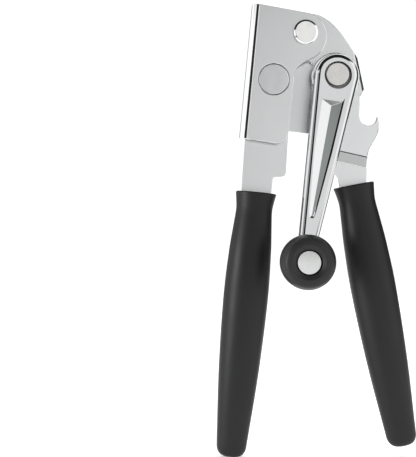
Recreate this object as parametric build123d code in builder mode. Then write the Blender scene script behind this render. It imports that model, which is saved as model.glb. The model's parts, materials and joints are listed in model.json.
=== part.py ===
from build123d import *
import os
from math import atan2, cos, degrees, hypot, radians, sin, tan

os.makedirs("parts", exist_ok=True)

# A manual crank can opener, held upright with its handles down and a little open.
# The front, with the crank, faces -Y, +X is to the right seen from the front and +Z is up.
# Points in the plates are (right, up) from the pivot; depths run from front to back
# and are counted from the middle of the swinging plate.

# ---- Frame: the origin is under the middle of the opener's box ----
PIVOT_X = -6.37
PIVOT_Y = 7.81
PIVOT_Z = 229.01

# ---- Working centres ----
CUTTER = (-17.0, -25.1)
SHAFT = (15.5, -24.4)
KNOB = (-1.65, -122.3)
CLOSING_ANGLE = 18.0

# ---- Sheet metal ----
SHEET = 2.0
SLOT = 2.5
PLATE_FRONT = -SHEET / 2
PLATE_BACK = SHEET / 2
FLAP_BACK = -SLOT / 2
FLAP_FRONT = FLAP_BACK - SHEET
REAR_FRONT = SLOT / 2
REAR_BACK = REAR_FRONT + SHEET
FOLD_TOP = (-24.45, 15.2)
FOLD_REACH = 4.2
FOLD_LENGTH = 72.6
FOLD_TILT = 5.5
STUD_HOLE = 8.5
TANG_MIDDLE = (REAR_FRONT + REAR_BACK) / 2

# ---- Pivot rivet ----
RIVET_RADIUS = 3.5
RIVET_FACE = 5.6
RIVET_HEAD = 6.6
RIVET_RISE = 1.7
RIVET_SKIRT = 0.58
PIVOT_WASHER_RADIUS = 6.5
PIVOT_WASHER = 0.8
RUNNING = 0.05

# ---- Gears and wheels behind the plates ----
TEETH = 14
GEAR_FRONT = 3.6
GEAR_BACK = 6.6
FEED_RADIUS = 11.9
FEED_TEETH = 24
FEED_TOOTH = 1.1
FEED_FRONT = 7.6
FEED_BACK = 10.4
CUTTER_EDGE_DEPTH = 10.9
CUTTER_BACK = 13.1
CUTTER_RADIUS = 13.2
CUTTER_DRUM = 8.6
SLEEVE_RADIUS = 4.5
SLEEVE_BACK = 13.4
STUD_RADIUS = 3.0
STUD_HEAD = 8.2
STUD_NECK = 4.4
WASHER = 0.8
NUT_HEIGHT = 3.2
NUT_CORNER = 5.8
THREAD_RADIUS = 2.5

# ---- Crank ----
CRANK_BACK = -7.5
CRANK_FRONT = -13.8
CRANK_HEAD = 11.8
CRANK_TIP = 3.9
CRANK_EDGE = 2.6
EYE_RECESS = 7.1
EYE_DEPTH = 2.1
SHAFT_HEAD = 6.0
JOURNAL = 4.0
SHAFT_RADIUS = 3.0
SHAFT_FLATS = 4.8
SQUARE = 5.6
FLANGE_RADIUS = 12.8
HUB_RADIUS = 9.0
BUSHING_RADIUS = 5.5
CRANK_WASHER = 0.55
GROOVE_START = 14.2
GROOVE_END = 75.8
GROOVE_LEFT = (-6.4, -2.2)
GROOVE_RIGHT = (5.4, 1.1)
GROOVE_MIDDLE = -0.5
GROOVE_DEPTH = 2.3
GROOVE_HIP = 2.6

# ---- Knob ----
KNOB_RADIUS = 14.1
KNOB_BACK = -14.5
KNOB_FRONT = -33.0
CAP_RADIUS = 6.1
CAP_FRONT = -31.5
CAP_BACK = -29.6
PIN_RADIUS = 2.6
KNOB_WASHER = 0.5
KNOB_WASHER_RADIUS = 7.0
PIN_HEAD = 5.2
PIN_HEAD_FRONT = -28.9
PIN_HEAD_BACK = -27.2

# ---- Grips: half of the width across the front, and distance down from the top ----
GRIP_LENGTH = 143.8
GRIP_FLATNESS = 0.72
GRIP_LIP = (10.8, -0.8)
GRIP_NECK = (9.8, -9.5)
GRIP_BELLY = (12.15, -57.0)
GRIP_TAIL = (8.2, -137.2)
LEFT_GRIP_TOP = (-26.4, -85.6)
LEFT_GRIP_TILT = -5.5
RIGHT_GRIP_TOP = (26.8, -81.5)
RIGHT_GRIP_TILT = 10.7

# The shaft's centre with the handles closed, and what follows from it: the gears mesh there.
CLOSED_SHAFT = (
    SHAFT[0] * cos(radians(CLOSING_ANGLE)) + SHAFT[1] * sin(radians(CLOSING_ANGLE)),
    SHAFT[1] * cos(radians(CLOSING_ANGLE)) - SHAFT[0] * sin(radians(CLOSING_ANGLE)),
)
CENTRES = hypot(CLOSED_SHAFT[0] - CUTTER[0], CLOSED_SHAFT[1] - CUTTER[1])
MESH_ANGLE = degrees(atan2(CLOSED_SHAFT[1] - CUTTER[1], CLOSED_SHAFT[0] - CUTTER[0]))
PITCH_RADIUS = CENTRES / 2
MODULE = 2 * PITCH_RADIUS / TEETH

CRANK_LENGTH = hypot(KNOB[0] - SHAFT[0], KNOB[1] - SHAFT[1])
CRANK_DOWN = Vector((KNOB[0] - SHAFT[0]) / CRANK_LENGTH, 0, (KNOB[1] - SHAFT[1]) / CRANK_LENGTH)
CRANK_RIGHT = Vector(-CRANK_DOWN.Z, 0, CRANK_DOWN.X)


def layer(depth, centre=(0, 0)):
    """Plane that faces the front at this depth, with its origin on a centre in the plates."""
    origin = (PIVOT_X + centre[0], PIVOT_Y + depth, PIVOT_Z + centre[1])
    return Plane(origin=origin, x_dir=(1, 0, 0), z_dir=(0, -1, 0))


def slab(sketch, front, back, mode=Mode.ADD):
    """Extrude a sketch drawn on the layer at depth back, forwards to depth front."""
    extrude(sketch, amount=back - front, mode=mode)


def turn(centre, outline, mode=Mode.ADD):
    """Revolve an outline of (radius, depth) points about the front-to-back axis at centre."""
    origin = (PIVOT_X + centre[0], PIVOT_Y, PIVOT_Z + centre[1])
    with BuildSketch(Plane(origin=origin, x_dir=(1, 0, 0), z_dir=(0, 0, 1))) as profile:
        with BuildLine():
            Polyline(*outline, close=True)
        make_face()
    revolve(profile.sketch, axis=Axis(origin, (0, 1, 0)), mode=mode)


def ring(centre, outer, inner, front, back, mode=Mode.ADD):
    """A plain ring or, with inner 0, a disc."""
    turn(centre, [(inner, front), (outer, front), (outer, back), (inner, back)], mode)


def toothed(centre, back, teeth, root, tip, half_root, half_tip, phase):
    """Sketch of a toothed disc with straight-sided teeth."""
    with BuildSketch(layer(back, centre)) as disc:
        Circle(root)
        with PolarLocations(0, teeth, start_angle=phase):
            Polygon(
                (root - 1, -half_root),
                (root, -half_root),
                (tip, -half_tip),
                (tip, half_tip),
                (root, half_root),
                (root - 1, half_root),
                align=None,
            )
    return disc.sketch


def gear_blank(centre, phase):
    """Coarse stamped gear, with the wide tooth gaps of a gear that engages sideways."""
    return toothed(
        centre,
        GEAR_BACK,
        TEETH,
        PITCH_RADIUS - 1.05 * MODULE,
        PITCH_RADIUS + 0.85 * MODULE,
        0.88 * MODULE,
        0.34 * MODULE,
        phase,
    )


def drive_hole(front, back):
    """Cut the hole with two flats that fits the crank shaft's driving end."""
    with BuildSketch(layer(back, SHAFT)) as hole:
        Circle(SHAFT_RADIUS)
        Rectangle(SHAFT_FLATS, 3 * SHAFT_RADIUS, mode=Mode.INTERSECT)
    slab(hole.sketch, front, back, mode=Mode.SUBTRACT)


def nut_body(centre, front, back):
    """Hexagonal nut with its outer corners eased."""
    with BuildSketch(layer(back, centre)) as hexagon:
        RegularPolygon(NUT_CORNER, 6)
        Circle(THREAD_RADIUS, mode=Mode.SUBTRACT)
    slab(hexagon.sketch, front, back)
    ease = 0.45
    turn(
        centre,
        [(0, front), (NUT_CORNER, front), (NUT_CORNER, back - ease), (NUT_CORNER - ease, back), (0, back)],
        mode=Mode.INTERSECT,
    )


# The same oval grip is on both tangs: turned from a profile, then flattened from front to back.
with BuildPart() as grip_blank:
    with BuildSketch(Plane.XZ) as grip_profile:
        with BuildLine():
            Polyline((0, -GRIP_LENGTH), (0, 0), (GRIP_LIP[0] - 0.7, 0))
            ThreePointArc((GRIP_LIP[0] - 0.7, 0), (GRIP_LIP[0] - 0.2, -0.2), GRIP_LIP)
            Spline(
                GRIP_LIP,
                (10.3, -4.4),
                GRIP_NECK,
                (10.4, -18.0),
                (11.45, -32.0),
                GRIP_BELLY,
                (10.95, -97.0),
                GRIP_TAIL,
            )
            ThreePointArc(GRIP_TAIL, (6.6, -141.9), (2.8, -GRIP_LENGTH))
            Line((2.8, -GRIP_LENGTH), (0, -GRIP_LENGTH))
        make_face()
    revolve(grip_profile.sketch, axis=Axis.Z)
    scale(by=(1, GRIP_FLATNESS, 1))


def grip_body(top, tilt):
    """The grip with its top at this point and its lower end tilted to the right by tilt degrees."""
    up = Vector(-sin(radians(tilt)), 0, cos(radians(tilt)))
    across = Vector(cos(radians(tilt)), 0, sin(radians(tilt)))
    origin = Vector(PIVOT_X + top[0], PIVOT_Y + TANG_MIDDLE, PIVOT_Z + top[1])
    add(Plane(origin=origin, x_dir=across, z_dir=up).location * grip_blank.part)


# ---- Left handle ----

# Outlines shared by the flap and the rear plate.
LOBE_START = (1.8, 10.3)
LOBE_SIDE = (11.4, -2.0)
LOBE_END = (4.4, -13.4)
FOLD_BOTTOM = (
    FOLD_TOP[0] - FOLD_LENGTH * sin(radians(FOLD_TILT)),
    FOLD_TOP[1] - FOLD_LENGTH * cos(radians(FOLD_TILT)),
)

with BuildPart() as left_body:
    # front flap, scooped out round the place that the crank's flange takes when closed
    with BuildSketch(layer(FLAP_BACK)):
        with BuildLine():
            Line(FOLD_TOP, LOBE_START)
            ThreePointArc(LOBE_START, LOBE_SIDE, LOBE_END)
            FilletPolyline(LOBE_END, (-5.5, -18.3), (-10.0, -60.6), FOLD_BOTTOM, radius=[9.5, 6.8])
            Line(FOLD_BOTTOM, FOLD_TOP)
        make_face()
        with Locations(CUTTER):
            Circle(STUD_HOLE, mode=Mode.SUBTRACT)
        Circle(RIVET_RADIUS, mode=Mode.SUBTRACT)
    extrude(amount=SHEET)
    # rear plate: a wing that backs the swinging plate, and the tang
    with BuildSketch(layer(REAR_BACK)):
        with BuildLine():
            Line(FOLD_TOP, LOBE_START)
            ThreePointArc(LOBE_START, (8.7, 5.7), LOBE_SIDE)
            Polyline(LOBE_SIDE, (9.5, -12.0), (4.3, -21.5), (4.3, -36.0), (8.0, -44.0), (7.8, -54.8))
            Line((7.8, -54.8), (-8.9, -52.5))
            FilletPolyline((-8.9, -52.5), (-10.4, -76.9), (-17.3, -77.6), (-18.0, -86.0), radius=[2.0, 1.6])
            Polyline((-18.0, -86.0), (-20.5, -95.0), (-34.4, -192.0), (-41.4, -192.0), (-34.3, -90.0))
            Polyline((-34.3, -90.0), (-34.3, -84.3), (-32.4, -57.1), FOLD_BOTTOM, FOLD_TOP)
        make_face()
        with Locations(CUTTER):
            Circle(STUD_RADIUS, mode=Mode.SUBTRACT)
        with Locations(CLOSED_SHAFT):
            Circle(SHAFT_RADIUS + 0.4, mode=Mode.SUBTRACT)
        Circle(RIVET_RADIUS, mode=Mode.SUBTRACT)
    extrude(amount=SHEET)
    # round fold that joins them
    fold_up = Vector(sin(radians(FOLD_TILT)), 0, cos(radians(FOLD_TILT)))
    fold_right = Vector(cos(radians(FOLD_TILT)), 0, -sin(radians(FOLD_TILT)))
    fold_start = Vector(PIVOT_X + FOLD_BOTTOM[0], PIVOT_Y, PIVOT_Z + FOLD_BOTTOM[1])
    with BuildSketch(Plane(origin=fold_start, x_dir=fold_right, z_dir=fold_up)):
        Ellipse(FOLD_REACH, SLOT / 2 + SHEET)
        Ellipse(FOLD_REACH - SHEET, SLOT / 2, mode=Mode.SUBTRACT)
        with Locations((SLOT + SHEET, 0)):
            Rectangle(2 * (SLOT + SHEET), 4 * (SLOT + SHEET), mode=Mode.SUBTRACT)
    extrude(amount=FOLD_LENGTH)

with BuildPart() as left_grip:
    grip_body(LEFT_GRIP_TOP, LEFT_GRIP_TILT)
    add(left_body.part, mode=Mode.SUBTRACT)

RIVET_TAIL = REAR_BACK + PIVOT_WASHER
with BuildPart() as pivot_rivet:
    turn(
        (0, 0),
        [
            (0, FLAP_FRONT - RIVET_RISE),
            (RIVET_FACE, FLAP_FRONT - RIVET_RISE),
            (RIVET_HEAD, FLAP_FRONT - RIVET_RISE + RIVET_SKIRT),
            (RIVET_HEAD, FLAP_FRONT),
            (RIVET_RADIUS, FLAP_FRONT),
            (RIVET_RADIUS, RIVET_TAIL),
            (5.4, RIVET_TAIL),
            (5.0, RIVET_TAIL + 1.0),
            (3.4, RIVET_TAIL + 1.8),
            (0, RIVET_TAIL + 2.0),
        ],
    )

with BuildPart() as pivot_washer:
    ring((0, 0), PIVOT_WASHER_RADIUS, RIVET_RADIUS, REAR_BACK, RIVET_TAIL)

# The stud is put in through the flap's hole; its shoulder stands on the rear plate.
STUD_FACE = FLAP_FRONT + 0.4
STUD_HEAD_BACK = STUD_FACE + 1.5
CUTTER_NUT_FRONT = SLEEVE_BACK + WASHER
CUTTER_NUT_BACK = CUTTER_NUT_FRONT + NUT_HEIGHT
with BuildPart() as cutter_stud:
    turn(
        CUTTER,
        [
            (0, STUD_FACE),
            (STUD_HEAD - 0.3, STUD_FACE),
            (STUD_HEAD, STUD_FACE + 0.3),
            (STUD_HEAD, STUD_HEAD_BACK),
            (STUD_NECK, STUD_HEAD_BACK),
            (STUD_NECK, REAR_FRONT),
            (STUD_RADIUS, REAR_FRONT),
            (STUD_RADIUS, SLEEVE_BACK),
            (THREAD_RADIUS, SLEEVE_BACK),
            (THREAD_RADIUS, CUTTER_NUT_BACK - 0.5),
            (THREAD_RADIUS - 0.5, CUTTER_NUT_BACK),
            (0, CUTTER_NUT_BACK),
        ],
    )

with BuildPart() as cutter_sleeve:
    ring(CUTTER, SLEEVE_RADIUS, STUD_RADIUS, REAR_BACK, SLEEVE_BACK)
    ring(CUTTER, SLEEVE_RADIUS + 2.5, STUD_RADIUS, REAR_BACK, GEAR_FRONT - 0.1)

with BuildPart() as cutter_washer:
    ring(CUTTER, SLEEVE_RADIUS + 2.0, THREAD_RADIUS, SLEEVE_BACK, CUTTER_NUT_FRONT)

with BuildPart() as cutter_nut:
    nut_body(CUTTER, CUTTER_NUT_FRONT, CUTTER_NUT_BACK)

# ---- Cutter, turning on the sleeve ----

CUTTER_BORE = SLEEVE_RADIUS + RUNNING
CUTTER_RIVET_CIRCLE = 6.5

with BuildPart() as cutter_rivets:
    with BuildSketch(layer(CUTTER_BACK, CUTTER)):
        with PolarLocations(CUTTER_RIVET_CIRCLE, 3):
            Circle(1.0)
    extrude(amount=CUTTER_BACK - GEAR_FRONT)

with BuildPart() as cutter_gear:
    slab(gear_blank(CUTTER, MESH_ANGLE + 180 / TEETH), GEAR_FRONT, GEAR_BACK)
    ring(CUTTER, CUTTER_BORE, 0, GEAR_FRONT, GEAR_BACK, mode=Mode.SUBTRACT)
    add(cutter_rivets.part, mode=Mode.SUBTRACT)

with BuildPart() as cutter_spacer:
    ring(CUTTER, CUTTER_DRUM, CUTTER_BORE, GEAR_BACK, CUTTER_EDGE_DEPTH)
    add(cutter_rivets.part, mode=Mode.SUBTRACT)

with BuildPart() as cutter_wheel:
    turn(
        CUTTER,
        [
            (CUTTER_BORE, CUTTER_EDGE_DEPTH),
            (CUTTER_RADIUS, CUTTER_EDGE_DEPTH),
            (CUTTER_RADIUS - 3.2, CUTTER_BACK),
            (CUTTER_BORE, CUTTER_BACK),
        ],
    )
    add(cutter_rivets.part, mode=Mode.SUBTRACT)

# ---- Right handle ----

# The step that brings the right tang into the rear plate's plane.
STEP_START = (18.5, -63.4)
STEP_SLOPE = -12.7
STEP_LENGTH = 5.65
STEP_MITRE = SHEET * tan(atan2(TANG_MIDDLE, STEP_LENGTH) / 2)
UPPER_REACH = 110
LOWER_REACH = 160

# The upper jaw's edge is bent back into a short lip.
JAW_TOP = (28.5, -13.3)
JAW_BOTTOM = (32.0, -29.9)
LIP_BEND = 1.9
LIP_BACK = 3.2

with BuildPart() as right_plate:
    with BuildSketch(layer(REAR_BACK)):
        with BuildLine():
            # shoulder and upper jaw of the bottle opener
            Spline((0.0, 10.4), (8.5, 9.3), (17.1, 2.8), (23.6, -5.8), JAW_TOP)
            Polyline(JAW_TOP, JAW_BOTTOM, (29.5, -34.0), (29.2, -43.5))
            # notch and hook
            ThreePointArc((29.2, -43.5), (30.8, -48.3), (34.2, -49.8))
            ThreePointArc((34.2, -49.8), (37.3, -48.4), (38.8, -44.9))
            Spline((38.8, -44.9), (39.8, -50.2), (38.4, -55.6), (35.3, -61.1), (33.6, -68.0))
            # tang, outer side then inner side
            Polyline((33.6, -68.0), (33.5, -84.0), (35.0, -92.0), (50.6, -188.0), (43.4, -188.0))
            Polyline((43.4, -188.0), (21.2, -92.0), (19.0, -83.0))
            ThreePointArc((19.0, -83.0), (17.8, -77.9), (15.8, -75.3))
            # edge hidden behind the crank
            Polyline((15.8, -75.3), (12.4, -66.0), (10.6, -60.0), (8.0, -48.0), (6.4, -34.0), (6.0, -18.4))
            Polyline((6.0, -18.4), (1.5, -14.6), (0.0, -10.2), (0.0, 10.4))
        make_face()
        Circle(10.4)
        with Locations(SHAFT):
            Circle(11.4)
        # ear that meets the stud's neck when the handles are wide open
        with BuildLine():
            Polyline((-6.0, 7.0), (-22.5, 2.0), (-25.0, -9.0), (-23.4, -16.6), (-6.0, -8.0), close=True)
        make_face()
        Circle(RIVET_RADIUS + RUNNING, mode=Mode.SUBTRACT)
        with Locations(SHAFT):
            Circle(BUSHING_RADIUS, mode=Mode.SUBTRACT)
    extrude(amount=REAR_BACK - PLATE_FRONT)
    step_across = Vector(cos(radians(STEP_SLOPE)), 0, sin(radians(STEP_SLOPE)))
    step_down = Vector(sin(radians(STEP_SLOPE)), 0, -cos(radians(STEP_SLOPE)))
    step_origin = Vector(PIVOT_X + STEP_START[0], PIVOT_Y, PIVOT_Z + STEP_START[1])
    with BuildSketch(Plane(origin=step_origin, x_dir=step_down, z_dir=step_across)) as bend:
        with BuildLine():
            Polyline(
                (-UPPER_REACH, PLATE_FRONT),
                (0, PLATE_FRONT),
                (STEP_LENGTH, REAR_FRONT),
                (LOWER_REACH, REAR_FRONT),
                (LOWER_REACH, REAR_BACK),
                (STEP_LENGTH - STEP_MITRE, REAR_BACK),
                (-STEP_MITRE, PLATE_BACK),
                (-UPPER_REACH, PLATE_BACK),
                close=True,
            )
        make_face()
    extrude(bend.sketch, amount=LOWER_REACH, both=True, mode=Mode.INTERSECT)
    with BuildSketch(layer(LIP_BACK)) as lip:
        Polygon(
            JAW_TOP,
            JAW_BOTTOM,
            (JAW_BOTTOM[0] - SHEET, JAW_BOTTOM[1]),
            (JAW_TOP[0] - SHEET, JAW_TOP[1]),
            align=None,
        )
    slab(lip.sketch, PLATE_FRONT, LIP_BACK)
    jaw_middle = layer(PLATE_FRONT, ((JAW_TOP[0] + JAW_BOTTOM[0]) / 2, (JAW_TOP[1] + JAW_BOTTOM[1]) / 2))
    fillet(right_plate.edges().sort_by_distance(jaw_middle.origin)[0], LIP_BEND)

with BuildPart() as right_grip:
    grip_body(RIGHT_GRIP_TOP, RIGHT_GRIP_TILT)
    add(right_plate.part, mode=Mode.SUBTRACT)

FLANGE_FRONT = CRANK_BACK + CRANK_WASHER + 0.1
with BuildPart() as shaft_bushing:
    turn(
        SHAFT,
        [
            (JOURNAL + RUNNING, FLANGE_FRONT),
            (FLANGE_RADIUS - 0.5, FLANGE_FRONT),
            (FLANGE_RADIUS, FLANGE_FRONT + 0.5),
            (FLANGE_RADIUS, FLANGE_FRONT + 2.2),
            (HUB_RADIUS, FLANGE_FRONT + 2.2),
            (HUB_RADIUS, PLATE_FRONT),
            (BUSHING_RADIUS, PLATE_FRONT),
            (BUSHING_RADIUS, PLATE_BACK),
            (JOURNAL + RUNNING, PLATE_BACK),
        ],
    )

# ---- Crank ----

SHAFT_FACE = CRANK_FRONT + 0.3
SHAFT_HEAD_BACK = CRANK_FRONT + EYE_DEPTH
FEED_NUT_FRONT = FEED_BACK + WASHER
FEED_NUT_BACK = FEED_NUT_FRONT + NUT_HEIGHT

with BuildPart() as crank_shaft:
    turn(
        SHAFT,
        [
            (0, SHAFT_FACE),
            (SHAFT_HEAD - 0.5, SHAFT_FACE),
            (SHAFT_HEAD, SHAFT_FACE + 0.5),
            (SHAFT_HEAD, SHAFT_HEAD_BACK),
            (0, SHAFT_HEAD_BACK),
        ],
    )
    with BuildSketch(layer(CRANK_BACK, SHAFT)):
        Rectangle(SQUARE, SQUARE)
    extrude(amount=CRANK_BACK - SHAFT_HEAD_BACK)
    ring(SHAFT, JOURNAL, 0, CRANK_BACK, PLATE_BACK)
    ring(SHAFT, SHAFT_RADIUS, 0, PLATE_BACK, GEAR_FRONT)
    with BuildSketch(layer(FEED_BACK, SHAFT)):
        Circle(SHAFT_RADIUS)
        Rectangle(SHAFT_FLATS, 3 * SHAFT_RADIUS, mode=Mode.INTERSECT)
    extrude(amount=FEED_BACK - GEAR_FRONT)
    turn(
        SHAFT,
        [
            (0, FEED_BACK),
            (SHAFT_FLATS / 2, FEED_BACK),
            (SHAFT_FLATS / 2, FEED_NUT_BACK - 0.5),
            (SHAFT_FLATS / 2 - 0.5, FEED_NUT_BACK),
            (0, FEED_NUT_BACK),
        ],
    )


def on_crank(along, across, into=0.0):
    """Point this far down the arm from the shaft, to the right of its middle, and into its face."""
    return Vector(
        PIVOT_X + SHAFT[0] + CRANK_DOWN.X * along + CRANK_RIGHT.X * across,
        PIVOT_Y + CRANK_FRONT + into,
        PIVOT_Z + SHAFT[1] + CRANK_DOWN.Z * along + CRANK_RIGHT.Z * across,
    )


def facet(a, b, c):
    """Plane through three points, facing the front."""
    normal = (b - a).cross(c - a)
    return Plane(origin=a, x_dir=b - a, z_dir=normal if normal.Y < 0 else -normal)


# V groove with a hipped upper end, which runs out at its lower end
GROOVE_PROUD = 1.0
upper_left = on_crank(GROOVE_START, GROOVE_LEFT[0])
upper_right = on_crank(GROOVE_START, GROOVE_RIGHT[0])
lower_left = on_crank(GROOVE_END, GROOVE_LEFT[1])
lower_right = on_crank(GROOVE_END, GROOVE_RIGHT[1])
deepest = on_crank(GROOVE_START + GROOVE_HIP, GROOVE_MIDDLE, GROOVE_DEPTH)
run_out = on_crank(GROOVE_END - 1.2, GROOVE_MIDDLE, 0.7)
with BuildPart() as groove:
    with BuildSketch(Plane(origin=on_crank(0, 0, -GROOVE_PROUD), x_dir=CRANK_RIGHT, z_dir=(0, -1, 0))):
        Polygon(
            (GROOVE_LEFT[0], -GROOVE_START),
            (GROOVE_RIGHT[0], -GROOVE_START),
            (GROOVE_RIGHT[1], -GROOVE_END),
            (GROOVE_LEFT[1], -GROOVE_END),
            align=None,
        )
    extrude(amount=-(GROOVE_PROUD + GROOVE_DEPTH + 0.5))
    split(bisect_by=facet(upper_left, lower_left, deepest), keep=Keep.TOP)
    split(bisect_by=facet(upper_right, lower_right, deepest), keep=Keep.TOP)
    split(bisect_by=facet(upper_left, upper_right, deepest), keep=Keep.TOP)
    split(bisect_by=facet(lower_left, lower_right, run_out), keep=Keep.TOP)

with BuildPart() as crank_arm:
    with BuildSketch(layer(CRANK_BACK)):
        with Locations(SHAFT):
            Circle(CRANK_HEAD)
        with Locations(KNOB):
            Circle(CRANK_TIP)
        make_hull()
    extrude(amount=CRANK_BACK - CRANK_FRONT)
    fillet(crank_arm.faces().sort_by(Axis.Y)[0].edges(), CRANK_EDGE)
    add(groove.part, mode=Mode.SUBTRACT)
    ring(SHAFT, EYE_RECESS, 0, CRANK_FRONT - 1, SHAFT_HEAD_BACK, mode=Mode.SUBTRACT)
    with BuildSketch(layer(CRANK_BACK, SHAFT)) as square_hole:
        Rectangle(SQUARE, SQUARE)
    slab(square_hole.sketch, CRANK_FRONT, CRANK_BACK, mode=Mode.SUBTRACT)
    ring(KNOB, PIN_RADIUS, 0, CRANK_FRONT, CRANK_BACK, mode=Mode.SUBTRACT)

with BuildPart() as crank_washer:
    ring(SHAFT, HUB_RADIUS, JOURNAL, CRANK_BACK, CRANK_BACK + CRANK_WASHER)

with BuildPart() as feed_gear:
    slab(gear_blank(SHAFT, MESH_ANGLE + 180 + CLOSING_ANGLE), GEAR_FRONT, GEAR_BACK)
    drive_hole(GEAR_FRONT, GEAR_BACK)

with BuildPart() as feed_spacer:
    ring(SHAFT, CUTTER_DRUM, 0, GEAR_BACK, FEED_FRONT)
    drive_hole(GEAR_BACK, FEED_FRONT)

with BuildPart() as feed_wheel:
    slab(
        toothed(SHAFT, FEED_BACK, FEED_TEETH, FEED_RADIUS - FEED_TOOTH, FEED_RADIUS, 1.2, 0.35, 0),
        FEED_FRONT,
        FEED_BACK,
    )
    drive_hole(FEED_FRONT, FEED_BACK)

with BuildPart() as feed_washer:
    ring(SHAFT, SLEEVE_RADIUS + 2.0, SHAFT_FLATS / 2, FEED_BACK, FEED_NUT_FRONT)

with BuildPart() as feed_nut:
    nut_body(SHAFT, FEED_NUT_FRONT, FEED_NUT_BACK)

# ---- Knob and what it turns on ----

with BuildPart() as knob_pin:
    turn(
        KNOB,
        [
            (0, PIN_HEAD_FRONT),
            (PIN_HEAD, PIN_HEAD_FRONT),
            (PIN_HEAD, PIN_HEAD_BACK),
            (PIN_RADIUS, PIN_HEAD_BACK),
            (PIN_RADIUS, CRANK_BACK),
            (0, CRANK_BACK),
        ],
    )

with BuildPart() as knob_washer:
    ring(KNOB, KNOB_WASHER_RADIUS, PIN_RADIUS, CRANK_FRONT - KNOB_WASHER, CRANK_FRONT)

with BuildPart() as knob_sleeve:
    ring(KNOB, SLEEVE_RADIUS, PIN_RADIUS + RUNNING, KNOB_BACK, PIN_HEAD_BACK + 0.15)

with BuildPart() as knob:
    recess = CAP_RADIUS + 0.5
    shoulder = KNOB_FRONT + 6.5
    with BuildSketch(Plane(origin=layer(0, KNOB).origin, x_dir=(1, 0, 0), z_dir=(0, 0, 1))) as knob_profile:
        with BuildLine():
            Polyline((recess, KNOB_FRONT + 0.9), (recess, KNOB_BACK), (KNOB_RADIUS - 2, KNOB_BACK))
            TangentArc((KNOB_RADIUS, shoulder), (KNOB_RADIUS - 2, KNOB_BACK), tangent=(0, 1))
            Spline(
                (KNOB_RADIUS, shoulder),
                (KNOB_RADIUS - 1.6, KNOB_FRONT + 1.6),
                (KNOB_RADIUS - 4.8, KNOB_FRONT),
                (recess, KNOB_FRONT + 0.9),
                tangents=((0, -1), (-1, 0.7)),
            )
        make_face()
    revolve(knob_profile.sketch, axis=Axis(layer(0, KNOB).origin, (0, 1, 0)))
    # web inside the knob that the sleeve is pressed into
    ring(KNOB, recess, PIN_HEAD + 0.4, CAP_BACK, PIN_HEAD_BACK + 0.15)
    ring(KNOB, recess, SLEEVE_RADIUS, PIN_HEAD_BACK + 0.15, KNOB_BACK)

with BuildPart() as knob_cap:
    turn(
        KNOB,
        [
            (0, CAP_FRONT),
            (CAP_RADIUS - 0.6, CAP_FRONT),
            (CAP_RADIUS, CAP_FRONT + 0.6),
            (CAP_RADIUS, CAP_BACK),
            (0, CAP_BACK),
        ],
    )

PARTS = {
    "left_body": left_body,
    "left_grip": left_grip,
    "pivot_rivet": pivot_rivet,
    "pivot_washer": pivot_washer,
    "cutter_stud": cutter_stud,
    "cutter_sleeve": cutter_sleeve,
    "cutter_washer": cutter_washer,
    "cutter_nut": cutter_nut,
    "cutter_rivets": cutter_rivets,
    "cutter_gear": cutter_gear,
    "cutter_spacer": cutter_spacer,
    "cutter_wheel": cutter_wheel,
    "right_plate": right_plate,
    "right_grip": right_grip,
    "shaft_bushing": shaft_bushing,
    "crank_shaft": crank_shaft,
    "crank_arm": crank_arm,
    "crank_washer": crank_washer,
    "feed_gear": feed_gear,
    "feed_spacer": feed_spacer,
    "feed_wheel": feed_wheel,
    "feed_washer": feed_washer,
    "feed_nut": feed_nut,
    "knob_pin": knob_pin,
    "knob_washer": knob_washer,
    "knob_sleeve": knob_sleeve,
    "knob": knob,
    "knob_cap": knob_cap,
}

for node, piece in PARTS.items():
    piece.part.label = node
    export_step(piece.part, f"parts/{node}.step")
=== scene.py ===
import json
import math

import bmesh
import bpy
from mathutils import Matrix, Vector


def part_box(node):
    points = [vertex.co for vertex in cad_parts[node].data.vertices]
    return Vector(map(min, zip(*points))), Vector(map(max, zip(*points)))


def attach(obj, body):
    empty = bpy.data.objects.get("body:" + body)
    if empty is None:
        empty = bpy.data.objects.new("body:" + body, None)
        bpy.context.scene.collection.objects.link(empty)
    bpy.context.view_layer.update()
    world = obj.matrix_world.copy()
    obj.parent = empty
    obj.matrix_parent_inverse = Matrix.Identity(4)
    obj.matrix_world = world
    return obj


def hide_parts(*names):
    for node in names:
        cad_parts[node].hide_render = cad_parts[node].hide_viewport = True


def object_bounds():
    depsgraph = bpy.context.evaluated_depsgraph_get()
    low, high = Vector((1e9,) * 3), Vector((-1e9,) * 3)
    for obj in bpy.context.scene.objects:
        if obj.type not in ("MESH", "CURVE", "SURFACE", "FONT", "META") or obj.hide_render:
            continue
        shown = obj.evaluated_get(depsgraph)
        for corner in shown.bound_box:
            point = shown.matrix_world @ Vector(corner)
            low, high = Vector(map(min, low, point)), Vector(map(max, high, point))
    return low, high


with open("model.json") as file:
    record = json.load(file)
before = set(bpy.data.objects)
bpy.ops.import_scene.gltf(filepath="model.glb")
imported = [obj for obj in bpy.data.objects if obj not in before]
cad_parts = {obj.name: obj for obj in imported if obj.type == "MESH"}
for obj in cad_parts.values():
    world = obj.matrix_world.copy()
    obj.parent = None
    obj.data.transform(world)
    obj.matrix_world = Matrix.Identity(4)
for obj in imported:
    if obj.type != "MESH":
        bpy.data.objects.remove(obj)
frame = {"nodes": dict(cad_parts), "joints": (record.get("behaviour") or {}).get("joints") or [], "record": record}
CAD_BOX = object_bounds()

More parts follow.
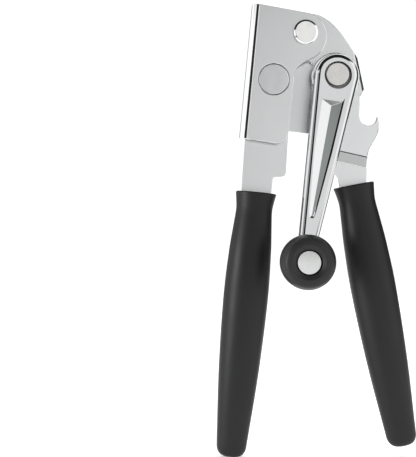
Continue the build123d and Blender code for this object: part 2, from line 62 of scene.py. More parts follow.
# A manual crank can opener. Lengths in this script are millimetres, turned into metres where a mesh is made.
# The front faces -Y, +X is to the right and +Z is up; depths count along +Y from the pivot's own depth.
MM = 0.001
JOINT_AT = {joint["name"]: Vector(joint["pos_m"]) for joint in frame["joints"]}
PIVOT = JOINT_AT["handle_pivot"]
SHAFT = JOINT_AT["crank_spin"]
CUTTER = JOINT_AT["cutter_spin"]
KNOB = JOINT_AT["knob_spin"]
BODY_OF = {node: body for body, nodes in frame["record"]["behaviour"]["bodies"].items() for node in nodes}


def front_of(node):
    """Depth in mm of a node's foremost point."""
    return (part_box(node)[0].y - PIVOT.y) / MM


def back_of(node):
    """Depth in mm of a node's rearmost point."""
    return (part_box(node)[1].y - PIVOT.y) / MM


def radius_of(node):
    """Half of a round node's width in mm."""
    low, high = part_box(node)
    return (high.x - low.x) / 2 / MM


# ---- Shader nodes ----


def add_node(tree, kind, inputs=None, **settings):
    """Add a shader node, set its properties, and set or link its inputs by name or number."""
    made = tree.nodes.new(kind)
    for key, value in settings.items():
        setattr(made, key, value)
    for key, value in (inputs or {}).items():
        if isinstance(value, bpy.types.NodeSocket):
            tree.links.new(value, made.inputs[key])
        else:
            made.inputs[key].default_value = value
    return made


def calculate(tree, operation, *values):
    """A Math node's result."""
    return add_node(tree, "ShaderNodeMath", dict(enumerate(values)), operation=operation).outputs[0]


def highest(tree, first, *others):
    """The greatest of some values."""
    for other in others:
        first = calculate(tree, "MAXIMUM", first, other)
    return first


def lowest(tree, first, *others):
    """The least of some values."""
    for other in others:
        first = calculate(tree, "MINIMUM", first, other)
    return first


def mixture(tree, first, second, share):
    """Two values added, with this share of the second and the rest of the first."""
    kept = calculate(tree, "MULTIPLY", first, 1 - share)
    return calculate(tree, "ADD", kept, calculate(tree, "MULTIPLY", second, share))


def between(tree, value, low, high, to_low=0.0, to_high=1.0):
    """A smooth step from to_low to to_high as value goes from low to high."""
    inputs = {"Value": value, "From Min": low, "From Max": high, "To Min": to_low, "To Max": to_high}
    return add_node(tree, "ShaderNodeMapRange", inputs, interpolation_type="SMOOTHSTEP").outputs["Result"]


def new_surface(name):
    """A material with its tree, its shader and object coordinates in millimetres."""
    material = bpy.data.materials.new(name)
    material.use_nodes = True
    tree = material.node_tree
    shader = tree.nodes["Principled BSDF"]
    place = add_node(tree, "ShaderNodeTexCoord").outputs["Object"]
    scaled = add_node(tree, "ShaderNodeVectorMath", {0: place, "Scale": 1 / MM}, operation="SCALE")
    return material, tree, shader, scaled.outputs["Vector"]


def stretched(tree, vector, scales):
    """Coordinates scaled apart along X, Y and Z."""
    inputs = {0: vector, 1: scales}
    return add_node(tree, "ShaderNodeVectorMath", inputs, operation="MULTIPLY").outputs["Vector"]


def cloud(tree, vector, scale, detail=3.0, rough=0.55):
    """Noise from 0 to 1."""
    inputs = {"Vector": vector, "Scale": scale, "Detail": detail, "Roughness": rough}
    return add_node(tree, "ShaderNodeTexNoise", inputs).outputs["Fac"]


def tint(tree, factor, dark, light):
    """Colour between two linear colours."""
    ramp = add_node(tree, "ShaderNodeValToRGB", {"Fac": factor})
    ramp.color_ramp.elements[0].color = (*dark, 1)
    ramp.color_ramp.elements[0].position = 0.3
    ramp.color_ramp.elements[1].color = (*light, 1)
    ramp.color_ramp.elements[1].position = 0.7
    return ramp.outputs["Color"]


def shaded(colour, share):
    """A colour made lighter or darker."""
    return tuple(min(1.0, part * share) for part in colour)


def connect(tree, shader, colour, roughness, height, strength, distance):
    """Join colour, roughness and bump to the shader."""
    inputs = {"Height": height, "Strength": strength, "Distance": distance * MM}
    bump = add_node(tree, "ShaderNodeBump", inputs)
    tree.links.new(colour, shader.inputs["Base Color"])
    tree.links.new(roughness, shader.inputs["Roughness"])
    tree.links.new(bump.outputs["Normal"], shader.inputs["Normal"])


def rolled_metal(name, colour, roughness, spread=0.05, grain=(9.0, 2.0, 0.5), strength=0.12):
    """Sheet or bar metal with a fine directional grain, soft smudges and hairline scratches."""
    material, tree, shader, place = new_surface(name)
    shader.inputs["Metallic"].default_value = 1.0
    smudge = cloud(tree, place, 0.06, 4.0, 0.6)
    lines = cloud(tree, stretched(tree, place, grain), 1.0, 4.0, 0.7)
    hair = cloud(tree, stretched(tree, place, (0.35, 1.0, 7.0)), 1.6, 6.0, 0.8)
    scratch = between(tree, hair, 0.67, 0.74)
    worn = mixture(tree, lines, smudge, 0.5)
    even = between(tree, worn, 0.25, 0.75, roughness - spread, roughness + spread)
    rough = calculate(tree, "ADD", even, calculate(tree, "MULTIPLY", scratch, spread))
    height = calculate(tree, "SUBTRACT", lines, calculate(tree, "MULTIPLY", scratch, 0.4))
    colours = tint(tree, worn, shaded(colour, 0.96), shaded(colour, 1.03))
    connect(tree, shader, colours, rough, height, strength, 0.02)
    return material


def turned_metal(name, colour, roughness, centre, pitch=0.25, spread=0.02, strength=0.2, depth=0.01):
    """Metal faced on a lathe: fine rings about an axis that runs from front to back."""
    material, tree, shader, place = new_surface(name)
    shader.inputs["Metallic"].default_value = 1.0
    middle = tuple(part / MM for part in centre)
    inputs = {0: place, 1: middle}
    offset = add_node(tree, "ShaderNodeVectorMath", inputs, operation="SUBTRACT").outputs["Vector"]
    flat = stretched(tree, offset, (1.0, 0.0, 1.0))
    distance = add_node(tree, "ShaderNodeVectorMath", {0: flat}, operation="LENGTH").outputs["Value"]
    turns = calculate(tree, "MULTIPLY", distance, 1 / pitch)
    along = add_node(tree, "ShaderNodeCombineXYZ", {"X": turns}).outputs[0]
    rings = cloud(tree, along, 1.0, 3.0, 0.6)
    smudge = cloud(tree, place, 0.25, 3.0, 0.6)
    rough = between(tree, smudge, 0.3, 0.7, roughness - spread, roughness + spread)
    colours = tint(tree, rings, shaded(colour, 0.94), shaded(colour, 1.04))
    connect(tree, shader, colours, rough, rings, strength, depth)
    return material


def soft_black(name, colour, roughness, grain, strength, specular=0.5):
    """Black moulded rubber or plastic with a fine matte grain and faint handling marks."""
    material, tree, shader, place = new_surface(name)
    shader.inputs["Specular IOR Level"].default_value = specular
    handled = cloud(tree, place, 0.05, 4.0, 0.6)
    pebbles = cloud(tree, place, grain, 2.0, 0.5)
    dust = between(tree, cloud(tree, place, 2.4, 2.0, 0.4), 0.72, 0.8)
    mixed = mixture(tree, handled, dust, 0.2)
    rough = between(tree, handled, 0.25, 0.75, roughness - 0.05, roughness + 0.06)
    colours = tint(tree, mixed, shaded(colour, 0.85), shaded(colour, 1.2))
    connect(tree, shader, colours, rough, pebbles, strength, 0.05)
    return material


NICKEL = (0.83, 0.84, 0.845)
MATERIALS = {
    "stamped_steel": rolled_metal("stamped_steel", NICKEL, 0.36, 0.03, strength=0.10),
    # painted shade: a darker copy of the sheet steel for the tang's wide sloping step
    "step_shade_steel": rolled_metal("step_shade_steel", shaded(NICKEL, 0.53), 0.30, 0.03, strength=0.12),
    # painted shade: a near-black line for the bend at the top of the tang's step and the lip beside the crank's
    # head
    "painted_dark_line": rolled_metal("painted_dark_line", shaded(NICKEL, 0.09), 0.34, 0.05, strength=0.2),
    "rolled_edge": rolled_metal("rolled_edge", (0.84, 0.845, 0.85), 0.10, 0.02, (0.8, 0.8, 0.8), 0.02),
    "polished_chrome": rolled_metal(
        "polished_chrome", (0.62, 0.625, 0.63), 0.055, 0.02, (0.6, 0.6, 0.6), 0.02,
    ),
    # painted shade: a darker chrome for the groove's upper slope, which faces down
    "painted_hip_shade": rolled_metal("painted_hip_shade", (0.30, 0.31, 0.305), 0.20, 0.03, (1.0, 1.0, 1.0), 0.05),
    # painted shade: a darker chrome for the groove's right side
    "shaded_chrome": rolled_metal("shaded_chrome", (0.215, 0.23, 0.225), 0.14, 0.03, (1.0, 1.0, 1.0), 0.05),
    # painted shade: a dark copy of the chrome for the wall and floor of the crank's eye
    "painted_recess_shade": rolled_metal("painted_recess_shade", (0.20, 0.20, 0.205), 0.40, 0.06, (2.0, 2.0, 2.0), 0.3),
    "pivot_face": turned_metal("pivot_face", (0.87, 0.865, 0.855), 0.24, PIVOT),
    "stud_face": turned_metal("stud_face", (0.66, 0.67, 0.68), 0.30, CUTTER),
    "shaft_face": turned_metal("shaft_face", (0.69, 0.68, 0.66), 0.28, SHAFT),
    "pin_face": turned_metal("pin_face", (0.68, 0.68, 0.67), 0.28, KNOB),
    "cap_face": turned_metal("cap_face", (0.72, 0.73, 0.72), 0.20, KNOB, 0.35, 0.03, 0.35, 0.015),
    "zinc": rolled_metal("zinc", (0.66, 0.67, 0.68), 0.26, 0.06, (2.0, 2.0, 2.0), 0.2),
    "bushing": turned_metal("bushing", (0.72, 0.725, 0.73), 0.12, SHAFT, strength=0.04),
    "gear_steel": rolled_metal("gear_steel", (0.55, 0.56, 0.575), 0.34, 0.07, (3.0, 3.0, 3.0), 0.3),
    "ground_steel": turned_metal("ground_steel", (0.58, 0.59, 0.61), 0.24, CUTTER, 0.18, 0.05, 0.4),
    "bronze": rolled_metal("bronze", (0.42, 0.29, 0.15), 0.38, 0.06, (3.0, 3.0, 3.0), 0.3),
    "grip_rubber": soft_black("grip_rubber", (0.007, 0.0072, 0.0075), 0.44, 4.0, 0.12, 0.34),
    "knob_plastic": soft_black("knob_plastic", (0.017, 0.017, 0.0172), 0.42, 3.0, 0.08, 0.32),
    "nylon": soft_black("nylon", (0.62, 0.60, 0.54), 0.45, 3.0, 0.05),
}


# ---- Meshes ----


def make_piece(name, mesh_data, node, material, edge_material=None):
    """Turn a bmesh into a piece that stands for a CAD node, on that node's body.

    The faces that don't lie flat to the front or back can have a second material, except a wide one
    that slopes down.
    """
    bmesh.ops.recalc_face_normals(mesh_data, faces=mesh_data.faces)
    for face in mesh_data.faces if edge_material else ():
        step = abs(face.normal.z) > 0.2 and abs(face.normal.y) > 0.9 and face.calc_area() > 10 * MM * MM
        if abs(face.normal.y) < 0.9998 and not step:
            face.material_index = 1
    mesh = bpy.data.meshes.new(name)
    mesh_data.to_mesh(mesh)
    mesh_data.free()
    mesh.polygons.foreach_set("use_smooth", [True] * len(mesh.polygons))
    mesh.set_sharp_from_angle(angle=math.radians(34))
    mesh.materials.append(MATERIALS[material])
    if edge_material:
        mesh.materials.append(MATERIALS[edge_material])
    piece = bpy.data.objects.new(name, mesh)
    bpy.context.scene.collection.objects.link(piece)
    weighted = piece.modifiers.new("weighted_normals", "WEIGHTED_NORMAL")
    weighted.keep_sharp = True
    weighted.weight = 90
    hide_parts(node)
    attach(piece, BODY_OF[node])
    return piece


def is_corner(edge, least_angle=38, least_bend=12):
    """Whether an edge is sharp, or is a bend between two nearly flat faces."""
    if not edge.is_manifold:
        return False
    angle = math.degrees(edge.calc_face_angle(0))
    bent = all(abs(face.normal.y) > 0.9 for face in edge.link_faces)
    return angle > least_angle or (bent and angle > least_bend)


def round_edges(made, edges, radius, segments):
    """Round these edges to a radius in mm."""
    bmesh.ops.bevel(
        made, geom=edges, offset=radius * MM, segments=segments,
        profile=0.5, affect="EDGES", clamp_overlap=False,
    )


def softened(node, material, radius, segments=2, edge_material=None):
    """The CAD node's own shape with its sharp edges rounded."""
    made = bmesh.new()
    made.from_mesh(frame["nodes"][node].data)
    bmesh.ops.remove_doubles(made, verts=made.verts, dist=0.002 * MM)
    bmesh.ops.dissolve_limit(made, angle_limit=math.radians(0.6), verts=made.verts, edges=made.edges)
    round_edges(made, [edge for edge in made.edges if is_corner(edge)], radius, segments)
    return make_piece(node + "_detailed", made, node, material, edge_material)


def eased(outline, arc_steps=5):
    """A profile of (radius, depth, rounding) corners with each corner turned into an arc."""
    points = []
    for number, (across, depth, rounding) in enumerate(outline):
        here = Vector((across, depth))
        if rounding <= 0:
            points.append(here)
            continue
        before = Vector(outline[number - 1][:2]) - here
        after = Vector(outline[(number + 1) % len(outline)][:2]) - here
        half_angle = before.angle(after) / 2
        reach = min(rounding / math.tan(half_angle), before.length * 0.49, after.length * 0.49)
        radius = reach * math.tan(half_angle)
        inward = (before.normalized() + after.normalized()).normalized()
        middle = here + inward * (radius / math.sin(half_angle))
        start = here + before.normalized() * reach - middle
        sweep = start.angle_signed(here + after.normalized() * reach - middle)
        for step in range(arc_steps + 1):
            turn = -sweep * step / arc_steps
            spun = Vector((
                start.x * math.cos(turn) - start.y * math.sin(turn),
                start.x * math.sin(turn) + start.y * math.cos(turn),
            ))
            points.append(middle + spun)
    return points


def lathe(made, centre, outline, segments=96):
    """Turn a profile of (radius, depth, rounding) corners about the front-to-back axis through centre."""
    profile = eased(outline)
    rings = []
    for point in profile:
        depth = PIVOT.y + point.y * MM
        if point.x < 1e-6:
            rings.append([made.verts.new((centre.x, depth, centre.z))])
            continue
        ring = []
        for step in range(segments):
            angle = 2 * math.pi * step / segments
            across = centre.x + point.x * MM * math.cos(angle)
            up = centre.z + point.x * MM * math.sin(angle)
            ring.append(made.verts.new((across, depth, up)))
        rings.append(ring)
    for here, there in zip(rings, rings[1:] + rings[:1]):
        if len(here) == 1 and len(there) == 1:
            continue
        for step in range(segments):
            after = (step + 1) % segments
            corners = [here[step % len(here)], here[after % len(here)]]
            corners += [there[after % len(there)], there[step % len(there)]]
            made.faces.new(list(dict.fromkeys(corners)))


def turned(name, node, material, centre, *outlines, edge_material=None):
    """A piece made of one or more turned solids."""
    made = bmesh.new()
    for outline in outlines:
        lathe(made, centre, outline)
    return make_piece(name, made, node, material, edge_material)


# ---- Plates ----

softened("left_body", "stamped_steel", 0.3, 3, "rolled_edge")
plate = softened("right_plate", "stamped_steel", 0.3, 3, "rolled_edge")
for finish in ("step_shade_steel", "painted_dark_line"):
    plate.data.materials.append(MATERIALS[finish])
STEP_FACE = 2
DARK_LINE = 3
# the tang's wide step is darker, and the bend at its top and the lip beside the crank's head are near black:
# painted shade, in darker copies of the steel
for face in plate.data.polygons:
    place = (face.center - PIVOT) / MM
    sloped = face.normal.y < -0.9 and face.normal.z < -0.03
    turned_right = face.normal.x > 0.1 and abs(face.normal.y) < 0.99
    if sloped and face.area > 10 * MM * MM:
        face.material_index = STEP_FACE
    elif sloped and place.y < 0:
        face.material_index = DARK_LINE
    elif turned_right and 28 < place.x < 33 and -31 < place.z < -13:
        face.material_index = DARK_LINE

# ---- Rivets, stud and bushing ----

# radii and depths of what the plates and other parts hide
SHEET_FACE = front_of("left_body")
HALF_SHEET = 1.0
REAR_FRONT = 1.25
SLEEVE_BACK = 13.4
RIVET_SHANK = 3.5
RIVET_TAIL = 5.3
STUD_NECK = 4.4
STUD_SHANK = 3.0
STUD_THREAD = 2.5
JOURNAL = 4.0
BUSHING_BORE = 4.05
BUSHING_RADIUS = 5.5
HUB_RADIUS = 9.0
RIVET_FRONT = front_of("pivot_rivet")
RIVET_BACK = back_of("pivot_rivet")
RIVET_RADIUS = radius_of("pivot_rivet")
WASHER_BACK = back_of("pivot_washer")
turned(
    "pivot_rivet_detailed", "pivot_rivet", "pivot_face", PIVOT,
    [
        (0, RIVET_FRONT, 0),
        (RIVET_RADIUS - 1.0, RIVET_FRONT, 0.7),
        (RIVET_RADIUS - 0.06, RIVET_FRONT + 0.56, 0.12),
        (RIVET_RADIUS, SHEET_FACE, 0),
        (RIVET_SHANK, SHEET_FACE, 0),
        (RIVET_SHANK, WASHER_BACK, 0),
        (RIVET_TAIL, WASHER_BACK, 0.3),
        (RIVET_TAIL - 0.4, WASHER_BACK + 1.1, 0.5),
        (RIVET_TAIL - 2.1, RIVET_BACK - 0.1, 0.8),
        (0, RIVET_BACK, 0),
    ],
    edge_material="rolled_edge",
)

STUD_FRONT = front_of("cutter_stud")
STUD_BACK = back_of("cutter_stud")
STUD_RADIUS = radius_of("cutter_stud")
turned(
    "cutter_stud_detailed", "cutter_stud", "stud_face", CUTTER,
    [
        (0, STUD_FRONT, 0),
        (STUD_RADIUS, STUD_FRONT, 0.45),
        (STUD_RADIUS, STUD_FRONT + 1.5, 0.15),
        (STUD_NECK, STUD_FRONT + 1.5, 0),
        (STUD_NECK, REAR_FRONT, 0),
        (STUD_SHANK, REAR_FRONT, 0),
        (STUD_SHANK, SLEEVE_BACK, 0),
        (STUD_THREAD, SLEEVE_BACK, 0),
        (STUD_THREAD, STUD_BACK, 0.45),
        (0, STUD_BACK, 0),
    ],
    edge_material="rolled_edge",
)

FLANGE_FRONT = front_of("shaft_bushing")
FLANGE_RADIUS = radius_of("shaft_bushing")
turned(
    "shaft_bushing_detailed", "shaft_bushing", "bushing", SHAFT,
    [
        (BUSHING_BORE, FLANGE_FRONT, 0.15),
        (FLANGE_RADIUS, FLANGE_FRONT, 0.6),
        (FLANGE_RADIUS, FLANGE_FRONT + 2.2, 0.4),
        (HUB_RADIUS, FLANGE_FRONT + 2.2, 0.3),
        (HUB_RADIUS, -HALF_SHEET, 0.2),
        (BUSHING_RADIUS, -HALF_SHEET, 0),
        (BUSHING_RADIUS, HALF_SHEET, 0.2),
        (BUSHING_BORE, HALF_SHEET, 0.2),
    ],
    edge_material="rolled_edge",
)


FEED_THREAD = 2.4
PIN_RADIUS = 2.6


def washer(node, centre, inner):
    """A flat washer with one rolled and one sharper edge."""
    front, back, outer = front_of(node), back_of(node), radius_of(node)
    rounding = (back - front) * 0.3
    turned(
        node + "_detailed", node, "zinc", centre,
        [(inner, front, 0), (outer, front, rounding), (outer, back, rounding / 2), (inner, back, 0)],
    )


washer("pivot_washer", PIVOT, RIVET_SHANK)
washer("cutter_washer", CUTTER, STUD_THREAD)
washer("crank_washer", SHAFT, JOURNAL)
washer("feed_washer", SHAFT, FEED_THREAD)
washer("knob_washer", KNOB, PIN_RADIUS)


def hex_nut(node, centre, bore):
    """A hexagonal nut with both ends turned to a cone at its corners and a countersunk thread."""
    front, back = front_of(node), back_of(node)
    corner = radius_of(node)
    flat = corner * math.cos(math.pi / 6)
    steps = 96
    made = bmesh.new()
    loops = []

    def loop(radius_at, depth_at):
        ring = []
        for step in range(steps):
            angle = 2 * math.pi * step / steps
            radius = radius_at(angle)
            depth = PIVOT.y + depth_at(radius) * MM
            across = centre.x + radius * MM * math.cos(angle)
            ring.append(made.verts.new((across, depth, centre.z + radius * MM * math.sin(angle))))
        loops.append(ring)

    def hexagon(angle):
        return flat / math.cos((angle + math.pi / 6) % (math.pi / 3) - math.pi / 6)

    slope = 0.55
    sink = 0.4
    mouth = bore + 0.5
    rim = flat - 0.1
    loop(lambda angle: bore, lambda radius: front + sink)
    loop(lambda angle: mouth, lambda radius: front)
    loop(lambda angle: rim, lambda radius: front)
    loop(hexagon, lambda radius: front + (radius - flat + 0.1) * slope)
    loop(hexagon, lambda radius: back - (radius - flat + 0.1) * slope)
    loop(lambda angle: rim, lambda radius: back)
    loop(lambda angle: mouth, lambda radius: back)
    loop(lambda angle: bore, lambda radius: back - sink)
    for here, there in zip(loops, loops[1:] + loops[:1]):
        for step in range(steps):
            after = (step + 1) % steps
            made.faces.new((here[step], here[after], there[after], there[step]))
    make_piece(node + "_detailed", made, node, "zinc")


hex_nut("cutter_nut", CUTTER, STUD_THREAD)
hex_nut("feed_nut", SHAFT, FEED_THREAD)

# ---- Gears and wheels ----

softened("cutter_gear", "gear_steel", 0.18)
softened("feed_gear", "gear_steel", 0.18)
softened("feed_wheel", "gear_steel", 0.12)
softened("feed_spacer", "gear_steel", 0.1)
softened("cutter_rivets", "stud_face", 0.08)
softened("cutter_spacer", "gear_steel", 0.1)
softened("cutter_sleeve", "bronze", 0.1)
CUTTER_FRONT = front_of("cutter_wheel")
CUTTER_BACK = back_of("cutter_wheel")
CUTTER_RADIUS = radius_of("cutter_wheel")
CUTTER_BORE = 4.55
turned(
    "cutter_wheel_detailed", "cutter_wheel", "ground_steel", CUTTER,
    [
        (CUTTER_BORE, CUTTER_FRONT, 0.1),
        (CUTTER_RADIUS, CUTTER_FRONT, 0.04),
        (CUTTER_RADIUS - 1.1, CUTTER_FRONT + 0.55, 0.3),
        (CUTTER_RADIUS - 3.2, CUTTER_BACK, 0.3),
        (CUTTER_BORE, CUTTER_BACK, 0.2),
    ],
)

# ---- Grips ----


def through(points, at):
    """Smooth curve through (distance, value) points, evaluated at a distance."""
    last = len(points) - 2
    span = next((n for n in range(last + 1) if at <= points[n + 1][0]), last)
    (x0, y0), (x1, y1) = points[span], points[span + 1]
    before = points[max(span - 1, 0)]
    after = points[min(span + 2, len(points) - 1)]
    width = x1 - x0
    slope_0 = (y1 - before[1]) / max(x1 - before[0], 1e-6) * width
    slope_1 = (after[1] - y0) / max(after[0] - x0, 1e-6) * width
    t = (at - x0) / width
    return (
        y0 * (2 * t**3 - 3 * t**2 + 1)
        + slope_0 * (t**3 - 2 * t**2 + t)
        + y1 * (3 * t**2 - 2 * t**3)
        + slope_1 * (t**3 - t**2)
    )


# Half of the width across the front, by distance down from the top.
GRIP_OUTLINE = [
    (0.8, 10.75), (4.4, 10.25), (9.5, 9.75), (18.0, 10.35),
    (32.0, 11.4), (57.0, 12.1), (97.0, 10.9), (137.2, 8.15),
]
# The mouth, as (distance down, half width): up from its floor and over the rolled lip.
GRIP_MOUTH = [
    (1.6, 0.0), (1.6, 3.0), (1.5, 6.6), (0.9, 8.3), (0.25, 9.0),
    (0.05, 9.5), (0.0, 9.95), (0.08, 10.3), (0.3, 10.6), (0.55, 10.72),
]
GRIP_LENGTH = 143.8
GRIP_FLATNESS = 0.72
GRIP_ROUND_FROM = 137.2
LIP_FLARE = 0.45
GRIP_SEAM = 0.04
# an oval a little squarer than an ellipse, and a full domed end
OVAL_POWER = 2 / 2.2
DOME_POWER = 0.55


def grip(node, top, tilt, inner_side):
    """An oval grip with a rolled lip round a shallow mouth, a domed end and a fine seam down each side."""
    down = Vector((math.sin(math.radians(tilt)), 0, -math.cos(math.radians(tilt))))
    across = Vector((math.cos(math.radians(tilt)), 0, math.sin(math.radians(tilt))))
    low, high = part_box(node)
    start = Vector((PIVOT.x + top[0] * MM, (low.y + high.y) / 2, PIVOT.z + top[1] * MM))
    steps = 112
    rings = list(GRIP_MOUTH)
    distance = GRIP_OUTLINE[0][0]
    while distance < GRIP_ROUND_FROM:
        rings.append((distance, through(GRIP_OUTLINE, distance)))
        distance += 1.0 if distance < 12 else 2.5
    end_radius = through(GRIP_OUTLINE, GRIP_ROUND_FROM)
    dome = GRIP_LENGTH - GRIP_ROUND_FROM
    for step in range(0, 13):
        angle = math.pi / 2 * step / 12
        rings.append((GRIP_ROUND_FROM + dome * math.sin(angle), end_radius * math.cos(angle) ** DOME_POWER))
    made = bmesh.new()
    loops = []
    for distance, half_width in rings:
        middle = start + down * distance * MM
        if half_width < 1e-3:
            loops.append([made.verts.new(middle)])
            continue
        loop = []
        flare = LIP_FLARE * math.exp(-distance / 4.0) * (half_width / 10.0)
        for step in range(steps):
            angle = 2 * math.pi * step / steps
            side, front = math.cos(angle), math.sin(angle)
            x = math.copysign(abs(side) ** OVAL_POWER, side) * half_width
            y = math.copysign(abs(front) ** OVAL_POWER, front) * half_width * GRIP_FLATNESS
            x += inner_side * flare * max(0.0, inner_side * side)
            if step % (steps // 2) == 0 and 2.0 < distance < GRIP_ROUND_FROM:
                x += math.copysign(GRIP_SEAM, side)
            loop.append(made.verts.new(middle + across * x * MM + Vector((0, y * MM, 0))))
        loops.append(loop)
    for here, there in zip(loops, loops[1:]):
        for step in range(steps):
            after = (step + 1) % steps
            corners = [here[step % len(here)], here[after % len(here)]]
            corners += [there[after % len(there)], there[step % len(there)]]
            made.faces.new(list(dict.fromkeys(corners)))
    return make_piece(node + "_detailed", made, node, "grip_rubber")


grip("left_grip", (-26.4, -85.6), -5.5, 1)
grip("right_grip", (26.8, -81.5), 10.7, -1)

# ---- Crank ----

CRANK_FRONT = front_of("crank_arm")
CRANK_BACK = back_of("crank_arm")
CRANK_LENGTH = (KNOB - SHAFT).length / MM
CRANK_DOWN = (KNOB - SHAFT).normalized()
CRANK_RIGHT = Vector((-CRANK_DOWN.z, 0, CRANK_DOWN.x))
CRANK_HEAD = 11.4
CRANK_TIP = 4.2
CRANK_EDGE = 2.6
CRANK_EDGE_WIDTH = 3.0
HEAD_SHIFT = (0.3, -0.2)
TIP_SHIFT = 0.2


def on_crank(along, across, depth):
    """Row-frame point at these distances in mm down and across the arm and at this depth."""
    flat = SHAFT + CRANK_DOWN * along * MM + CRANK_RIGHT * across * MM
    return Vector((flat.x, PIVOT.y + depth * MM, flat.z))


def crank_outline(inset):
    """Points of the arm's outline, moved in by inset mm: two arcs joined by their common tangents."""
    tangent = math.acos((CRANK_HEAD - CRANK_TIP) / CRANK_LENGTH)
    head, tip = CRANK_HEAD - inset, CRANK_TIP - inset
    points = []
    for step in range(73):
        angle = tangent + (2 * math.pi - 2 * tangent) * step / 72
        points.append((HEAD_SHIFT[0] + head * math.cos(angle), HEAD_SHIFT[1] + head * math.sin(angle)))
    for step in range(49):
        angle = -tangent + 2 * tangent * step / 48
        points.append((CRANK_LENGTH + tip * math.cos(angle), TIP_SHIFT + tip * math.sin(angle)))
    return points


def solid_of(made, loops):
    """Close a stack of loops of vertices with a face at each end."""
    count = len(loops[0])
    for here, there in zip(loops, loops[1:]):
        for step in range(count):
            after = (step + 1) % count
            made.faces.new((here[step], here[after], there[after], there[step]))
    made.faces.new(loops[0])
    made.faces.new(list(reversed(loops[-1])))


def cutter_object(name, build):
    """A hidden solid to cut with."""
    made = bmesh.new()
    build(made)
    bmesh.ops.recalc_face_normals(made, faces=made.faces)
    mesh = bpy.data.meshes.new(name)
    made.to_mesh(mesh)
    made.free()
    solid = bpy.data.objects.new(name, mesh)
    bpy.context.scene.collection.objects.link(solid)
    return solid


def arm_blank(made):
    """The arm without its hollows: straight sides and a broad round edge along the front."""
    stack = [(0.25, CRANK_BACK), (0.0, CRANK_BACK - 0.25)]
    for step in range(13):
        angle = math.pi / 2 * step / 12
        inset = CRANK_EDGE_WIDTH * (1 - math.cos(angle))
        stack.append((inset, CRANK_FRONT + CRANK_EDGE * (1 - math.sin(angle))))
    loops = []
    for inset, depth in stack:
        loops.append([made.verts.new(on_crank(u, v, depth)) for u, v in crank_outline(inset)])
    solid_of(made, loops)


def groove_solid(made):
    """The long V groove: a three-sided slope at its upper end, fading out at its lower end."""
    proud = -1.0
    left = [(14.3, -5.8), (41.3, -5.2), (74.2, -2.3), (76.6, -1.6)]
    right = [(14.0, 5.3), (41.3, 3.6), (74.6, 0.95), (76.6, 0.4)]
    ridge = [(16.5, -0.2, 2.3), (41.3, -0.4, 1.9), (75.0, -0.5, 0.75)]

    def row(points, into):
        return [made.verts.new(on_crank(u, v, CRANK_FRONT + into)) for u, v in points]

    left_top, left_edge = row(left, proud), row(left, 0)
    right_top, right_edge = row(right, proud), row(right, 0)
    deep = [made.verts.new(on_crank(u, v, CRANK_FRONT + into)) for u, v, into in ridge]
    made.faces.new((left_edge[0], right_edge[0], deep[0]))
    for edge, top in ((left_edge, left_top), (right_edge, right_top)):
        for n in range(2):
            made.faces.new((edge[n], deep[n], edge[n + 1]))
            made.faces.new((deep[n], deep[n + 1], edge[n + 1]))
        made.faces.new((edge[2], deep[2], edge[3]))
        for n in range(3):
            made.faces.new((edge[n], edge[n + 1], top[n + 1], top[n]))
    for n in range(3):
        made.faces.new((left_top[n], left_top[n + 1], right_top[n + 1], right_top[n]))
    made.faces.new((left_edge[3], deep[2], right_edge[3]))
    made.faces.new((left_top[0], right_top[0], right_edge[0], left_edge[0]))
    made.faces.new((left_top[3], right_top[3], right_edge[3], left_edge[3]))


def disc_solid(centre, radius, front, back, steps=72):
    """A function that adds a plain disc to cut a round hole with."""

    def build(made):
        loops = []
        for depth in (front, back):
            ring = []
            for step in range(steps):
                angle = 2 * math.pi * step / steps
                across = centre.x + radius * MM * math.cos(angle)
                up = centre.z + radius * MM * math.sin(angle)
                ring.append(made.verts.new((across, PIVOT.y + depth * MM, up)))
            loops.append(ring)
        solid_of(made, loops)

    return build


def carved(solid, cutters):
    """Cut solids out of another and return the result as a bmesh."""
    for cutter in cutters:
        cut = solid.modifiers.new(cutter.name, "BOOLEAN")
        cut.operation = "DIFFERENCE"
        cut.solver = "EXACT"
        cut.object = cutter
    bpy.context.view_layer.update()
    graph = bpy.context.evaluated_depsgraph_get()
    mesh = bpy.data.meshes.new_from_object(solid.evaluated_get(graph))
    made = bmesh.new()
    made.from_mesh(mesh)
    bpy.data.meshes.remove(mesh)
    for thing in [solid, *cutters]:
        bpy.data.objects.remove(thing)
    return made


EYE_RADIUS = 7.1
EYE_DEPTH = 2.1
EYE_CENTRE = SHAFT + Vector((0.2, 0, -0.5)) * MM
crank = carved(
    cutter_object("arm", arm_blank),
    [
        cutter_object("groove", groove_solid),
        cutter_object("eye", disc_solid(EYE_CENTRE, EYE_RADIUS, CRANK_FRONT - 1, CRANK_FRONT + EYE_DEPTH)),
        cutter_object("bore", disc_solid(KNOB, PIN_RADIUS, CRANK_FRONT - 1, CRANK_BACK + 1)),
    ],
)
bmesh.ops.remove_doubles(crank, verts=crank.verts, dist=0.002 * MM)
bmesh.ops.dissolve_limit(crank, angle_limit=math.radians(0.3), verts=crank.verts, edges=crank.edges)

EDGE_TAPER = 0.0797


def on_groove_side(edge):
    """Whether an edge is the long right edge of the groove, in the arm's face.

    Nothing is taken from beyond a line just inside the arm's own rounded edge. EDGE_TAPER is the slope
    of that line.
    """
    for vert in edge.verts:
        along = (vert.co - SHAFT).dot(CRANK_DOWN) / MM
        across = (vert.co - SHAFT).dot(CRANK_RIGHT) / MM
        if abs(vert.co.y - PIVOT.y - CRANK_FRONT * MM) > 0.01 * MM or not 13 < along < 75 or across < 0.8:
            return False
        if across > CRANK_HEAD - CRANK_EDGE - along * EDGE_TAPER - 0.1:
            return False
    return abs((edge.verts[1].co - edge.verts[0].co).normalized().dot(CRANK_DOWN)) > 0.9


def bent_edges(made, least_angle):
    """Edges whose two faces meet at more than this angle in radians."""
    return [edge for edge in made.edges if edge.is_manifold and edge.calc_face_angle(0) > least_angle]


